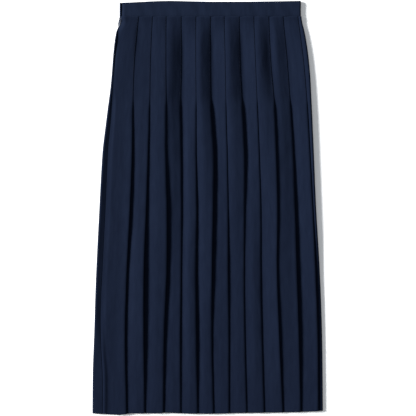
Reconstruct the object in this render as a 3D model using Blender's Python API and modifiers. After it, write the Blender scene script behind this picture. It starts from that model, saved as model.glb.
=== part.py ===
"""A pleated maxi skirt, laid flat on its back.

The skirt rests on z = 0 and is seen from above: +Z is up, +Y points from the hem to the waist, and the
side seam with the zip is at -X. Its outline is centred on the origin. Sizes are in millimetres here and
become metres when a mesh is made.

Each panel is one width of cloth folded into knife pleats. A cross-section is worked out at each station
down the skirt, and the sections are lofted into an open surface that Solidify turns into a wall.
"""

import math

import bpy
import numpy as np

MM = 0.001

# ---- cloth ----
CLOTH = 1.0  # wall of one layer
LAYER = 1.4  # from the middle of one pressed layer to the middle of the next
SEAM_GAP = 0.3  # between two pieces that are sewn together
WAIST_GAP = 0.4  # the same under the waistband, where the pleats' edges lean a little
FOLD_RADIUS = LAYER / 2  # of the cloth's middle round a fold
PLEAT_CLOTH = 70.5  # cloth that one pleat takes up, from fold to fold
BACK_Z = CLOTH / 2  # middle of the layer that lies on the floor
FRONT_Z = BACK_Z + 2 * LAYER + CLOTH + SEAM_GAP  # middle of the front panel's lowest layer

# ---- waistband ----
SEAM_Y = 401.4  # its lower edge
BAND_LEFT, BAND_RIGHT = -185.5, 196.4
BAND_WALL = 3.0  # two layers of cloth and the stiffening between them
BAND_RADIUS = 2.6  # of the band's middle round a side
BAND_MIDDLE_Z = BAND_WALL / 2 + BAND_RADIUS
TOP_LINE = (  # x, y of the band's top edge, left to right
    (-185.5, 430.4),
    (-119.0, 433.5),
    (-77.0, 434.5),
    (7.0, 432.7),
    (70.0, 432.7),
    (154.0, 433.5),
    (196.4, 434.7),
)

# ---- sides and hem ----
HEM_DROP = 833.0  # the hem's usual distance below the waist seam
HEM_LINE = (  # x, y of the hem, left to right
    (-242.5, -432.1),
    (-186.2, -434.7),
    (-135.8, -431.2),
    (15.4, -432.5),
    (91.0, -430.4),
    (191.8, -428.3),
    (242.5, -425.3),
)
SIDE_ROLL = 3.2  # how far in the soft roll at a side edge reaches
# The stations down the skirt. drop: distance below the waist seam. left, right: the outline.
# The back panel wraps round the left side. turn: degrees of the side's roll that it covers from the floor.
# roll: the roll's height. strip, sink: how far in and down the back goes on from the roll to the seam.
SIDES = (  # drop, left, right, turn, roll, strip, sink
    (0, -181.2, 197.1, 105, 6.8, 0.0, 0.0),
    (14, -181.3, 199.2, 105, 6.8, 0.0, 0.0),
    (30, -190.6, 203.2, 140, 6.9, 0.0, 0.0),
    (91, -198.8, 212.6, 160, 7.4, 0.0, 0.0),
    (130, -202.1, 216.0, 172, 7.7, 0.0, 0.0),
    (180, -207.8, 218.5, 180, 8.0, 2.2, 0.3),
    (280, -219.8, 222.5, 180, 8.2, 6.1, 2.6),
    (406, -227.3, 227.5, 180, 8.2, 7.6, 2.8),
    (532, -233.8, 234.9, 180, 7.8, 7.8, 2.4),
    (658, -238.0, 239.9, 180, 7.2, 8.8, 1.8),
    (833, -242.5, 242.5, 180, 6.8, 23.0, 0.8),
)
DROP, LEFT, RIGHT, TURN, ROLL, STRIP, SINK = np.array(SIDES, float).T
SEAM_FLAT = 0.8  # the cloth's last stretch before a seam, which lies straight
SEAM_TURN = 25.0  # degrees of the roll that this stretch and half a seam take up
SHOULDER = 5.0  # from the left seam to the level of the front's first face

# ---- the front's folds, from left to right ----
FOLD_DROPS = (0, 91, 180, 280, 406, 532, 658, 833)
FOLD_X = (  # waist, hip, release, thigh, above knee, knee, calf, hem
    (-145.4, -154.0, -157.4, -158.7, -163.3, -169.8, -173.6, -170.6),
    (-116.4, -120.4, -122.1, -125.1, -129.3, -132.6, -133.2, -132.4),
    (-87.7, -88.1, -87.7, -87.3, -83.7, -84.1, -90.2, -93.3),
    (-56.2, -55.3, -57.4, -55.8, -55.1, -55.8, -57.6, -57.0),
    (-25.3, -25.3, -24.7, -24.7, -23.2, -24.9, -24.0, -21.3),
    (5.4, 5.1, 6.2, 13.8, 13.3, 11.0, 9.1, 12.1),
    (34.3, 36.4, 37.9, 40.4, 42.3, 42.7, 44.2, 44.8),
    (65.8, 67.5, 71.7, 76.8, 77.0, 76.3, 77.6, 81.8),
    (96.3, 99.9, 103.6, 107.6, 111.4, 111.8, 113.9, 118.5),
    (127.8, 132.2, 139.1, 143.1, 146.3, 146.7, 151.1, 157.8),
    (157.8, 166.6, 172.9, 179.0, 185.1, 188.9, 192.7, 195.4),
    (188.9, 200.7, 208.2, 214.3, 221.4, 227.1, 231.5, 232.6),
)
# How high the front billows off the back under each fold: above the release it waves by pairs of pleats.
FOLD_WAVE = (  # waist, hip, release, thigh, above knee, knee, calf, hem
    (0.0, 0.5, 0.5, 0.5, 0.5, 0.5, 0.5, 0.5),
    (0.2, 2.0, 2.0, 2.0, 2.0, 1.5, 1.0, 0.5),
    (0.5, 4.0, 4.0, 4.0, 3.0, 1.0, 0.5, 0.5),
    (0.2, 0.5, 0.5, 0.2, 0.5, 1.5, 1.0, 0.5),
    (0.5, 4.5, 4.5, 4.0, 2.0, 0.5, 0.2, 0.5),
    (0.2, 0.2, 0.2, 0.2, 1.0, 1.0, 1.0, 0.5),
    (0.5, 4.5, 4.5, 4.0, 2.0, 0.5, 0.5, 0.5),
    (0.2, 0.5, 1.0, 1.5, 1.0, 1.5, 1.0, 0.5),
    (0.5, 4.0, 4.5, 4.5, 1.0, 0.5, 0.5, 0.5),
    (0.2, 2.5, 4.0, 4.5, 4.0, 3.0, 2.0, 0.5),
    (0.2, 0.5, 0.5, 0.2, 0.2, 0.2, 0.2, 0.5),
    (0.2, 1.0, 1.0, 1.0, 1.0, 1.0, 1.0, 0.5),
)
# How far each fold has sprung open: the folds are stitched down flat above the release.
FOLD_OPEN = (  # waist, hip, release, thigh, above knee, knee, calf, hem
    (0.0, 0.0, 0.2, 2.2, 3.7, 2.2, 2.2, 0.7),
    (0.0, 0.0, 0.0, 1.2, 2.7, 5.2, 4.7, 0.2),
    (0.0, 0.0, 0.2, 1.2, 4.2, 4.2, 3.2, 0.7),
    (0.0, 0.0, 0.5, 0.7, 0.7, 0.2, 1.2, 0.0),
    (0.0, 0.0, 0.0, 0.2, 1.7, 2.2, 3.2, 0.2),
    (0.0, 0.0, 2.0, 4.2, 4.7, 4.2, 1.2, 0.2),
    (0.0, 0.0, 0.0, 0.0, 0.2, 1.7, 0.7, 0.0),
    (0.0, 0.0, 2.0, 3.2, 0.7, 0.0, 0.0, 0.0),
    (0.0, 0.0, 0.0, 0.0, 0.0, 0.0, 0.2, 0.2),
    (0.0, 0.0, 1.2, 2.2, 2.2, 1.7, 2.7, 0.7),
    (0.0, 0.0, 0.7, 1.2, 3.2, 4.2, 4.2, 1.2),
    (0.0, 0.0, 0.0, 0.0, 0.7, 2.2, 2.2, 1.2),
)
EMERGE = 1.5  # where a face shows its full width again, past the fold above it

# Before each of the back's folds, where the face beside it leaves the floor and where it lies on the fold.
STEP_START, STEP_END = 8.0, 1.0

# ---- the invisible zip in the left seam ----
COIL_TOP, COIL_END = 32.0, 172.0  # drops of the coil's two ends
COIL_WIDTH, COIL_WALL, COIL_CLEAR = 2.0, 0.8, 0.8
PIVOT_X, PIVOT_Y = -184.6, 397.9  # the pin that the pull tab swings on
TAB_Z, TAB_WALL, TAB_GAP = 4.6, 1.2, 0.3
TAB_LENGTH, TAB_WIDTH, TAB_NECK = 17.8, 4.4, 1.6  # pin to tip, at the widest, at the narrowest
TAB_LEAN = 8.0  # degrees that the tab hangs away from the skirt
EYE_RADIUS, EYE_HOLE, PIN_RADIUS = 1.8, 1.0, 0.7
LUG_WALL, LUG_REACH, LUG_OVERLAP = 1.0, 1.3, 0.2  # thickness, past the pin, into the slider's plate
SLIDER_X = (-182.5, -181.8)  # the slider's plate, against the cloth's edge
SLIDER_Y = (391.4, 400.6)

# ---- colours ----
NAVY = (0.020, 0.030, 0.056)
ZIP_GREY = (0.10, 0.11, 0.14)


# ---- reading the tables ----
def side(drop, column):
    return float(np.interp(drop, DROP, column))


def at_folds(drop, table):
    """One value for each of the front's folds, at this distance below the waist seam."""
    return np.array([np.interp(drop, FOLD_DROPS, row) for row in table])


def pleat_depth(drop):
    """How far the cloth runs back under each fold: what a face leaves of its pleat's cloth."""
    folds = at_folds(drop, FOLD_X)
    return (PLEAT_CLOTH - (folds[-1] - folds[0]) / (len(folds) - 1)) / 2


# ---- lines in a cross-section, as rows of x and z ----
def arc(centre, radii, degrees):
    """Points on an ellipse at these angles."""
    angle = np.radians(degrees)
    return np.column_stack([centre[0] + radii[0] * np.cos(angle), centre[1] + radii[1] * np.sin(angle)])


def round_end(centre, radii, start, end):
    """An arc whose last stretch is straight, so that the cloth's edge there is cut square."""
    line = arc(centre, radii, np.linspace(start, end, round(abs(end - start) / 30) + 1))
    angle = math.radians(end)
    heading = np.array([-math.sin(angle), math.cos(angle)]) * math.copysign(1, end - start)
    return np.insert(line, -1, line[-1] - heading * SEAM_FLAT / 2, axis=0)


def resampled(points, count):
    """The same line with count points, evenly spaced along it."""
    points = np.array(points, float)
    along = np.concatenate([[0], np.cumsum(np.hypot(*np.diff(points, axis=0).T))])
    wanted = np.linspace(0, along[-1], count)
    return np.column_stack([np.interp(wanted, along, points[:, i]) for i in (0, 1)])


def left_roll(drop, turns):
    """Points on the roll at the left side: turn 0 is on the floor, 90 is outermost and 180 is on top."""
    half = (side(drop, ROLL) - BACK_Z) / 2
    centre = (side(drop, LEFT) + CLOTH / 2 + SIDE_ROLL, BACK_Z + half)
    return arc(centre, (SIDE_ROLL, half), 270 - np.asarray(turns, float))


def left_seam(drop):
    """Where the back and the front are sewn together at the left, and which way the cloth runs there."""
    turn = side(drop, TURN)
    place = left_roll(drop, [turn])[0] + (side(drop, STRIP), -side(drop, SINK))
    return place, np.array([-math.cos(math.radians(turn)), math.sin(math.radians(turn))])


def back_wrap(drop):
    """The back panel's left end, from the floor round the side to the seam."""
    seam, heading = left_seam(drop)
    last = side(drop, TURN) - (SEAM_TURN if side(drop, STRIP) == 0 else 0)
    end = [seam - heading * away for away in (SEAM_GAP / 2 + SEAM_FLAT, SEAM_GAP / 2)]
    return np.array([*left_roll(drop, np.linspace(0, last, 8)), *end])


def front_shoulder(drop):
    """The front panel's left end, from the seam over the rest of the roll to the first face's level."""
    seam, heading = left_seam(drop)
    start = seam + heading * SEAM_GAP / 2
    line = [start + heading * SEAM_FLAT]
    turn = side(drop, TURN) + SEAM_TURN
    if turn < 180:
        line += [*left_roll(drop, np.linspace(turn, 180, 4))]
    face_x = line[-1][0] + SHOULDER
    line.append((face_x, billow(drop, face_x) + 2 * LAYER))
    return np.array([start, *resampled(line, 6)])


def billow(drop, x):
    """Middle of the front's lowest layer: it climbs straight to a high fold and curves down to a low one."""
    folds = np.array([side(drop, LEFT), *at_folds(drop, FOLD_X), side(drop, RIGHT)])
    wave = at_folds(drop, FOLD_WAVE)
    wave = np.array([wave[0], *wave, wave[-1]])
    face = int(np.clip(np.searchsorted(folds, x) - 1, 0, len(folds) - 2))
    share = (x - folds[face]) / (folds[face + 1] - folds[face])
    if wave[face + 1] < wave[face]:
        share = share**2
    return FRONT_Z + wave[face] + (wave[face + 1] - wave[face]) * share


def front_section(drop):
    """Seam, first face, then for each fold: face, fold, back under it, hidden fold, and out again."""
    depth = pleat_depth(drop)
    points = list(front_shoulder(drop))
    for fold, sprung in zip(at_folds(drop, FOLD_X), at_folds(drop, FOLD_OPEN)):
        inner, outer = fold - depth + FOLD_RADIUS, fold - FOLD_RADIUS
        low, high = billow(drop, inner), billow(drop, outer)
        points += [
            (inner - 2 * FOLD_RADIUS, low + 2 * LAYER),
            (inner, low + 2 * LAYER),
            (outer, high + 2 * LAYER + sprung),
            (fold, high + LAYER + FOLD_RADIUS + sprung),
            (outer, high + LAYER + sprung),
            (inner, low + LAYER),
            (inner - FOLD_RADIUS, low + FOLD_RADIUS),
            (inner, low),
            (outer, high),
            (fold + EMERGE, billow(drop, fold + EMERGE)),
        ]
    half = (points[-1][1] - BACK_Z) / 2
    centre = (side(drop, RIGHT) - CLOTH / 2 - SIDE_ROLL, BACK_Z + half)
    edge = round_end(centre, (SIDE_ROLL, half), 90, 0)
    edge[-2:, 1] += SEAM_GAP / 2
    return np.array([*points, *edge])


def back_section(drop):
    """The wrap round the left side, then for each fold: up over it, hidden fold, back, fold, face.

    The back has the front's pleats turned over, evenly spaced.
    """
    depth = pleat_depth(drop)
    right = side(drop, RIGHT)
    points = list(back_wrap(drop)[::-1])
    front = at_folds(drop, FOLD_X)
    for fold in np.linspace(front[0], front[-1], len(front)) - depth:
        inner, outer = fold + depth - FOLD_RADIUS, fold + FOLD_RADIUS
        points += [
            (fold - STEP_START, BACK_Z),
            (fold - STEP_END, BACK_Z + 2 * LAYER),
            (inner, BACK_Z + 2 * LAYER),
            (inner + FOLD_RADIUS, BACK_Z + LAYER + FOLD_RADIUS),
            (inner, BACK_Z + LAYER),
            (outer, BACK_Z + LAYER),
            (fold, BACK_Z + FOLD_RADIUS),
            (outer, BACK_Z),
        ]
    half = (billow(drop, right) - BACK_Z) / 2
    edge = round_end((right - CLOTH / 2 - SIDE_ROLL, BACK_Z + half), (SIDE_ROLL, half), -90, 0)
    edge[-2:, 1] -= SEAM_GAP / 2
    return np.array([*points, *edge])


def band_section(front):
    """Half of the waistband. The back half wraps round the left side to the seam on top."""
    left = (BAND_LEFT + BAND_WALL / 2 + BAND_RADIUS, BAND_MIDDLE_Z)
    right = (BAND_RIGHT - BAND_WALL / 2 - BAND_RADIUS, BAND_MIDDLE_Z)
    radii = (BAND_RADIUS, BAND_RADIUS)
    up = 1 if front else -1
    flat = [(x, BAND_MIDDLE_Z + up * BAND_RADIUS) for x in np.linspace(left[0], right[0], 9)[1:-1]]
    right_end = round_end(right, radii, up * 90, 0)
    right_end[-2:, 1] += up * SEAM_GAP / 2
    if front:
        return np.array([(left[0] + SEAM_GAP / 2, BAND_MIDDLE_Z + BAND_RADIUS), *flat, *right_end])
    left_end = round_end(left, radii, 270, 90)[::-1]
    left_end[:2, 0] -= SEAM_GAP / 2
    return np.array([*left_end, *flat, *right_end])


# ---- objects ----
def material(name, colour, roughness, metallic=0.0):
    made = bpy.data.materials.new(name)
    made.use_nodes = True
    shader = made.node_tree.nodes["Principled BSDF"]
    shader.inputs["Base Color"].default_value = (*colour, 1)
    shader.inputs["Roughness"].default_value = roughness
    shader.inputs["Metallic"].default_value = metallic
    return made


def loft(name, rows, wall, finish):
    """An open surface through rows of points, left to right and top to bottom, thickened evenly.

    Each quad is cut along the same diagonal as seen from above, also where the cloth runs back to the
    left under a fold, so that stacked layers stay parallel.
    """
    grid = np.array(rows)
    down, across = grid.shape[:2]
    corner = np.arange(down * across).reshape(down, across)
    runs_right = grid[:, 1:, 0].mean(axis=0) >= grid[:, :-1, 0].mean(axis=0)
    a, b, c, d = corner[:-1, :-1], corner[1:, :-1], corner[1:, 1:], corner[:-1, 1:]
    first = np.where(runs_right[:, None], np.stack([a, b, c], -1), np.stack([a, b, d], -1))
    second = np.where(runs_right[:, None], np.stack([a, c, d], -1), np.stack([b, c, d], -1))
    faces = np.concatenate([first.reshape(-1, 3), second.reshape(-1, 3)])
    mesh = bpy.data.meshes.new(name)
    mesh.from_pydata((grid.reshape(-1, 3) * MM).tolist(), [], faces.tolist())
    mesh.materials.append(finish)
    made = bpy.data.objects.new(name, mesh)
    skirt.objects.link(made)
    thicken = made.modifiers.new("wall", "SOLIDIFY")
    thicken.thickness = wall * MM
    thicken.offset = 0
    thicken.use_even_offset = True
    return made


def panel(name, section, finish):
    """A panel from the waist seam to the hem, through its sections at the stations."""
    top = SEAM_Y - WAIST_GAP
    rows = []
    for drop in DROP:
        x, z = section(drop).T
        hem = np.interp(x, *np.array(HEM_LINE).T)
        rows.append(np.column_stack([x, top + (hem - top) * drop / HEM_DROP, z]))
    return loft(name, rows, CLOTH, finish)


def waistband(name, front, finish):
    x, z = band_section(front).T
    top = np.interp(x, *np.array(TOP_LINE).T)
    rows = [np.column_stack([x, y, z]) for y in (top, np.full(len(x), SEAM_Y))]
    return loft(name, rows, BAND_WALL, finish)


def zip_coil(finish):
    """The closed coil as a flat bar inside the left seam, across the two edges that it joins."""
    rows = []
    for drop in (COIL_TOP, *DROP[(DROP > COIL_TOP) & (DROP < COIL_END)], COIL_END):
        seam, heading = left_seam(drop)
        inward = np.array([heading[1], -heading[0]])
        middle = seam + inward * (CLOTH / 2 + COIL_CLEAR + COIL_WALL / 2)
        y = SEAM_Y - drop
        rows.append([(x, y, z) for x, z in (middle + heading * COIL_WIDTH * s for s in (-0.5, 0, 0.5))])
    return loft("zip_coil", rows, COIL_WALL, finish)


def adopted(name, finish):
    """The primitive just added, named, finished and moved into the skirt's collection."""
    made = bpy.context.object
    made.name = name
    made.data.materials.append(finish)
    bpy.context.collection.objects.unlink(made)
    skirt.objects.link(made)
    return made


def box(name, low, high, finish):
    bpy.ops.mesh.primitive_cube_add(size=1)
    made = adopted(name, finish)
    low, high = np.array(low) * MM, np.array(high) * MM
    for vertex in made.data.vertices:
        vertex.co = (low + high) / 2 + (high - low) * np.array(vertex.co)
    return made


def unite(target, others):
    """Joins the others to the target, and keeps them as guides that don't render."""
    for other in others:
        join = target.modifiers.new("join", "BOOLEAN")
        join.operation = "UNION"
        join.object = other
        other.hide_render = True
        other.display_type = "WIRE"
        skirt.objects.unlink(other)
        guides.objects.link(other)


def zip_slider(finish):
    """A plate against the cloth's edge, with two lugs and the pin that the tab swings on between them."""
    low = TAB_Z - TAB_WALL / 2 - TAB_GAP - LUG_WALL
    high = TAB_Z + TAB_WALL / 2 + TAB_GAP + LUG_WALL
    plate = box("zip_slider", (SLIDER_X[0], SLIDER_Y[0], low), (SLIDER_X[1], SLIDER_Y[1], high), finish)
    x = (PIVOT_X - LUG_REACH, SLIDER_X[0] + LUG_OVERLAP)
    y = (PIVOT_Y - LUG_REACH, PIVOT_Y + LUG_REACH)
    joined = []
    for place, z in (("lower", low), ("upper", high - LUG_WALL)):
        joined.append(box(f"{place}_lug", (x[0], y[0], z), (x[1], y[1], z + LUG_WALL), finish))
    bpy.ops.mesh.primitive_cylinder_add(vertices=16, radius=PIN_RADIUS * MM, depth=(high - low - LUG_WALL) * MM)
    pin = adopted("pin", finish)
    pin.location = (PIVOT_X * MM, PIVOT_Y * MM, TAB_Z * MM)
    unite(plate, [*joined, pin])
    return plate


def pull_tab(finish):
    """A leaf-shaped plate with an eye round the pin. Its origin is on the pin's axis."""
    neck = TAB_NECK / 2
    start, end = math.sqrt(EYE_RADIUS**2 - neck**2), TAB_LENGTH - neck
    share = np.linspace(0, 1, 13)
    half = neck + (TAB_WIDTH / 2 - neck) * np.sin(math.pi * share)
    leaf = np.column_stack([half, -(start + (end - start) * share)])
    tip = arc((0, -end), (neck, neck), -np.linspace(0, 180, 7)[1:-1])
    mouth = math.degrees(math.asin(neck / EYE_RADIUS))
    eye = arc((0, 0), (EYE_RADIUS, EYE_RADIUS), 270 - np.linspace(mouth, 360 - mouth, 15)[1:-1])
    outline = np.concatenate([leaf, tip, leaf[::-1] * (-1, 1), eye])
    hole = arc((0, 0), (EYE_HOLE, EYE_HOLE), np.arange(0, 360, 22.5))
    curve = bpy.data.curves.new("zip_pull_tab", "CURVE")
    curve.dimensions = "2D"
    curve.fill_mode = "BOTH"
    curve.extrude = TAB_WALL / 2 * MM
    for points in (outline, hole):
        spline = curve.splines.new("POLY")
        spline.points.add(len(points) - 1)
        for point, (x, y) in zip(spline.points, points):
            point.co = (x * MM, y * MM, 0, 1)
        spline.use_cyclic_u = True
    curve.materials.append(finish)
    tab = bpy.data.objects.new("zip_pull_tab", curve)
    tab.location = (PIVOT_X * MM, PIVOT_Y * MM, TAB_Z * MM)
    tab.rotation_euler.z = -math.radians(TAB_LEAN)
    skirt.objects.link(tab)
    return tab


# ---- the skirt ----
for old in list(bpy.data.objects):
    bpy.data.objects.remove(old)
skirt = bpy.data.collections.new("pleated_maxi_skirt")
guides = bpy.data.collections.new("guides")
bpy.context.scene.collection.children.link(skirt)
bpy.context.scene.collection.children.link(guides)

cloth = material("navy_cloth", NAVY, 0.75)
band_cloth = material("navy_band", NAVY, 0.72)
coil_nylon = material("navy_nylon", NAVY, 0.45)
zip_lacquer = material("lacquered_zip", ZIP_GREY, 0.35, 0.6)

panel("front_panel", front_section, cloth)
panel("back_panel", back_section, cloth)
waistband("waistband_front", True, band_cloth)
waistband("waistband_back", False, band_cloth)
zip_coil(coil_nylon)
zip_slider(zip_lacquer)
pull_tab(zip_lacquer)
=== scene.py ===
# %% [markdown]
# # A pleated maxi skirt, laid flat
#
# The skirt lies on its back on a white floor and is seen from straight above. Its solids come packed from
# the CAD step and are the frame here: each piece below stands in the place of one of them and gives it the
# look of cloth, thread, nylon or lacquered metal. +Y points from the hem to the waist, the zip's side is at
# -X and +Z is up. Sizes are written in millimetres and become metres as a mesh is made.

# %% Load the frame
import math

import bpy
import numpy as np
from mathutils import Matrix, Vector


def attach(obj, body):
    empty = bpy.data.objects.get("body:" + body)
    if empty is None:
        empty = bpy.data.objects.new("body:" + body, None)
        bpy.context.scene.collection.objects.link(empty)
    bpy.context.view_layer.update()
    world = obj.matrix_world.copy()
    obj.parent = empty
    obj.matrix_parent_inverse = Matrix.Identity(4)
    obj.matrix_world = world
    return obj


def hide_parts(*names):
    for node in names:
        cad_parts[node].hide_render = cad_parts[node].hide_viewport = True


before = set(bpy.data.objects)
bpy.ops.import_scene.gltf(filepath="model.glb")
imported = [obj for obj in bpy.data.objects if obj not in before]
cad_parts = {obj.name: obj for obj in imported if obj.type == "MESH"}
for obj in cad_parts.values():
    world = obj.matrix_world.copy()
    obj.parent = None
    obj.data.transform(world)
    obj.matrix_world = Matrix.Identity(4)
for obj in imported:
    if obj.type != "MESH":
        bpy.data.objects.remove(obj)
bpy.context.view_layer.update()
MM = 0.001

# %% [markdown]
# ## Camera
#
# The photograph looks straight down, so the camera hangs over the skirt with its top towards the waist.
# One pixel is 2.1 mm at the height of the cloth's upper face. A long lens from three metres keeps the
# perspective as small as the photograph's. The camera comes first because everything is judged through it.

# %% Camera
PIXEL = 2.1
FRAME_PIXELS = 416
CLOTH_TOP = 8.0
CAMERA_HEIGHT = 3000.0
CAMERA_X, CAMERA_Y = 0.7, -0.7

lens = bpy.data.cameras.new("camera")
lens.sensor_width = 36.0
lens.lens = lens.sensor_width * CAMERA_HEIGHT / (PIXEL * FRAME_PIXELS)
camera = bpy.data.objects.new("camera", lens)
camera.location = (CAMERA_X * MM, CAMERA_Y * MM, (CAMERA_HEIGHT + CLOTH_TOP) * MM)
bpy.context.scene.collection.objects.link(camera)
bpy.context.scene.camera = camera
print("lens", round(lens.lens, 1), "mm")

# %% [markdown]
# ## Light
#
# The photograph has one large soft light at the left, a little towards the waist, less than 30 degrees above
# the floor: every pleat that faces left is brighter, and each fold drops a soft shadow to its right. An area
# lamp would light the near side more than the far one. A sun with a wide disc gives the same soft shadow
# over the whole skirt, and a pale world fills it.

# %% Light
LIGHT_ELEVATION = 25.5  # degrees above the floor
LIGHT_TURN = -14.0  # degrees from +X of the way in which it shines
SUN_SIZE = 18.0  # degrees across
SUN_STRENGTH = 10.0
SKY_STRENGTH = 0.30
SKY_COLOUR = (0.86, 0.93, 1.0, 1)

scene = bpy.context.scene
scene.view_settings.view_transform = "Standard"
scene.world = bpy.data.worlds.new("studio")
scene.world.use_nodes = True
sky = scene.world.node_tree.nodes["Background"]
sky.inputs["Color"].default_value = SKY_COLOUR
sky.inputs["Strength"].default_value = SKY_STRENGTH

sun_data = bpy.data.lights.new("softbox", "SUN")
sun_data.energy = SUN_STRENGTH
sun_data.angle = math.radians(SUN_SIZE)
sun = bpy.data.objects.new("softbox", sun_data)
height, aside = math.radians(LIGHT_ELEVATION), math.radians(LIGHT_TURN)
beam = Vector((math.cos(height) * math.cos(aside), math.cos(height) * math.sin(aside), -math.sin(height)))
sun.rotation_euler = beam.to_track_quat("-Z", "Y").to_euler()
scene.collection.objects.link(sun)
print("the light shines along", [round(part, 2) for part in beam])

# %% [markdown]
# ## Finishes: a little language for shader maths
#
# A finish is worked out by nodes that add, multiply and mix. Written as Python expressions they read like
# formulas: `Field` wraps a node's output, and each operator adds one Math node. `Finish` starts a material
# and has one method that adds any other kind of node.


# %% Shader maths
class Field:
    """One output of a node, as a value that Python's operators work on."""

    def __init__(self, finish, socket):
        self.finish, self.socket = finish, socket

    def __getitem__(self, name):
        """Another output of the same node."""
        return Field(self.finish, self.socket.node.outputs[name])

    def maths(self, operation, *values):
        """A Math node with these values or links as its sockets."""
        return self.finish.node("ShaderNodeMath", {"operation": operation}, dict(enumerate(values)))

    def __add__(self, other):
        return self.maths("ADD", self, other)

    def __sub__(self, other):
        return self.maths("SUBTRACT", self, other)

    def __rsub__(self, other):
        return self.maths("SUBTRACT", other, self)

    def __mul__(self, other):
        return self.maths("MULTIPLY", self, other)

    def sine(self):
        return self.maths("SINE", self)

    __radd__, __rmul__ = __add__, __mul__


class Finish:
    """A material whose shader is fed by fields. What is fixed over the surface is given at the start."""

    def __init__(self, name, **fixed):
        self.material = bpy.data.materials.new(name)
        self.material.use_nodes = True
        self.tree = self.material.node_tree
        self.shader = self.tree.nodes["Principled BSDF"]
        for socket, value in fixed.items():
            self.shader.inputs[socket.replace("_", " ")].default_value = value

    def node(self, kind, settings=(), sockets=()):
        """Any node: its type, its settings, and the values or links of its sockets."""
        made = self.tree.nodes.new(kind)
        for name, value in dict(settings).items():
            setattr(made, name, value)
        for name, value in dict(sockets).items():
            if isinstance(value, Field):
                self.tree.links.new(value.socket, made.inputs[name])
            else:
                made.inputs[name].default_value = value
        return Field(self, next(out for out in made.outputs if out.enabled))

    def feed(self, **fields):
        """Links fields to the shader's sockets."""
        for socket, field in fields.items():
            self.tree.links.new(field.socket, self.shader.inputs[socket.replace("_", " ")])

    def places(self, kind="UV"):
        """Where on the piece, in metres, as three fields: its own UV map, or Object coordinates."""
        apart = self.node("ShaderNodeSeparateXYZ", sockets={"Vector": self.node("ShaderNodeTexCoord")[kind]})
        return apart["X"], apart["Y"], apart["Z"]

    def noise(self, places, detail=3.0, scale=1.0):
        """Noise from 0 to 1 at three fields."""
        vector = self.node("ShaderNodeCombineXYZ", sockets=dict(zip("XYZ", places)))
        sockets = {"Vector": vector, "Scale": scale, "Detail": detail}
        return self.node("ShaderNodeTexNoise", sockets=sockets)["Fac"]

    def mix(self, share, dark, light):
        """A colour between two, by a share from 0 to 1. Sockets 6, 7 and output 2 are the colour ones."""
        sockets = {"Factor": share, 6: (*dark, 1), 7: (*light, 1)}
        made = self.node("ShaderNodeMix", {"data_type": "RGBA"}, sockets)
        return made[2]

    def bump(self, height, distance, **over):
        """A normal from a height in the range 0 to 1, with its full height in metres, over another Normal."""
        return self.node("ShaderNodeBump", sockets={"Height": height, "Distance": distance, **over})


print("a field knows", [name.strip("_") for name in vars(Field) if name.strip("_") in "add sub mul sine"])

# %% [markdown]
# ## The cloth's finish
#
# The cloth is a matte navy suiting: fine warp and weft threads about half a millimetre apart, with slightly
# uneven yarns that run down the skirt. From where the camera hangs the threads melt into one soft tone, so
# they are a shallow bump, and the uneven yarns, short slubs and a faint mottling carry the colour. The light
# falls off from the waist to the hem and along the waistband, and a slow darkening of the colour is painted
# shade for that fall-off. The pattern reads the piece's own UV map, which measures the cloth in metres, so
# that it bends round every fold.

# %% Cloth
DEEP_NAVY = (0.0034, 0.0056, 0.0143)
PALE_NAVY = (0.0066, 0.0108, 0.0239)
SHEEN_TINT = (0.55, 0.65, 0.85, 1)
THREAD = 0.00055
THREAD_HEIGHT, CREASE_HEIGHT = 0.00004, 0.0012


def cloth_finish(name, roughness, mottling, lightness, painted_falloff):
    """A matte woven cloth, mixed from two navies.

    The share of the paler one is lightness, plus threads, yarns, slubs and mottling, plus painted shade: a
    shift for each metre across and down that follows the light's fall-off. A thread's height is the product
    of two sines, one for the warp and one for the weft. Each kind of noise is stretched by the number of its
    blotches in a metre, across and down.
    """
    cloth = Finish(name, Specular_IOR_Level=0.02, Sheen_Weight=0.03, Sheen_Roughness=0.5)
    cloth.shader.inputs["Sheen Tint"].default_value = SHEEN_TINT
    across, down, _ = cloth.places()
    warp = (across * (2 * math.pi / THREAD)).sine()
    weft = (down * (2 * math.pi / THREAD)).sine()
    threads = 0.5 + 0.5 * warp * weft
    yarn = cloth.noise((across * 700.0, down * 35.0, 0.0), 2.0)
    slub = cloth.noise((across * 200.0, down * 40.0, 3.0), 2.0)
    soft = cloth.noise((across * 38.0, down * 15.0, 1.0), 3.0)
    crease = cloth.noise((across * 45.0, down * 14.0, 2.0), 2.0)
    tone = 0.25 * threads + 0.35 * yarn + 0.5 * (slub - 0.5) + mottling * (soft - 0.5)
    # painted shade: the colour shifts by the metre, across and down, where the light falls off
    tone = tone + lightness + painted_falloff[0] * across + painted_falloff[1] * down
    creased = cloth.bump(crease, CREASE_HEIGHT)
    cloth.feed(
        Base_Color=cloth.mix(tone, DEEP_NAVY, PALE_NAVY),
        Roughness=(roughness - 0.06) + 0.12 * yarn,
        Normal=cloth.bump(0.6 * threads + 0.4 * yarn, THREAD_HEIGHT, Normal=creased),
    )
    return cloth.material


# painted shade for the light's fall-off: the skirt darker towards the hem; the band darker towards its right
# end and lighter towards its top edge
skirt_cloth = cloth_finish("skirt_cloth", 0.84, 0.36, 0.32, painted_falloff=(0.0, -0.34))
band_cloth = cloth_finish("band_cloth", 0.78, 0.70, 0.70, painted_falloff=(-1.0, 7.0))
print("cloth:", len(skirt_cloth.node_tree.nodes), "nodes,", round(MM / THREAD, 1), "threads in a millimetre")

# %% [markdown]
# ## Thread, nylon and lacquer
#
# The sewing thread is two twisted plies in the cloth's own colour, a little shinier. The zip's coil is dyed
# nylon. Its slider and pull tab are lacquered metal, and the tab's lacquer is painted paler towards its tip,
# a painted highlight.

# %% Small finishes
PLY = 0.0005
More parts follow.
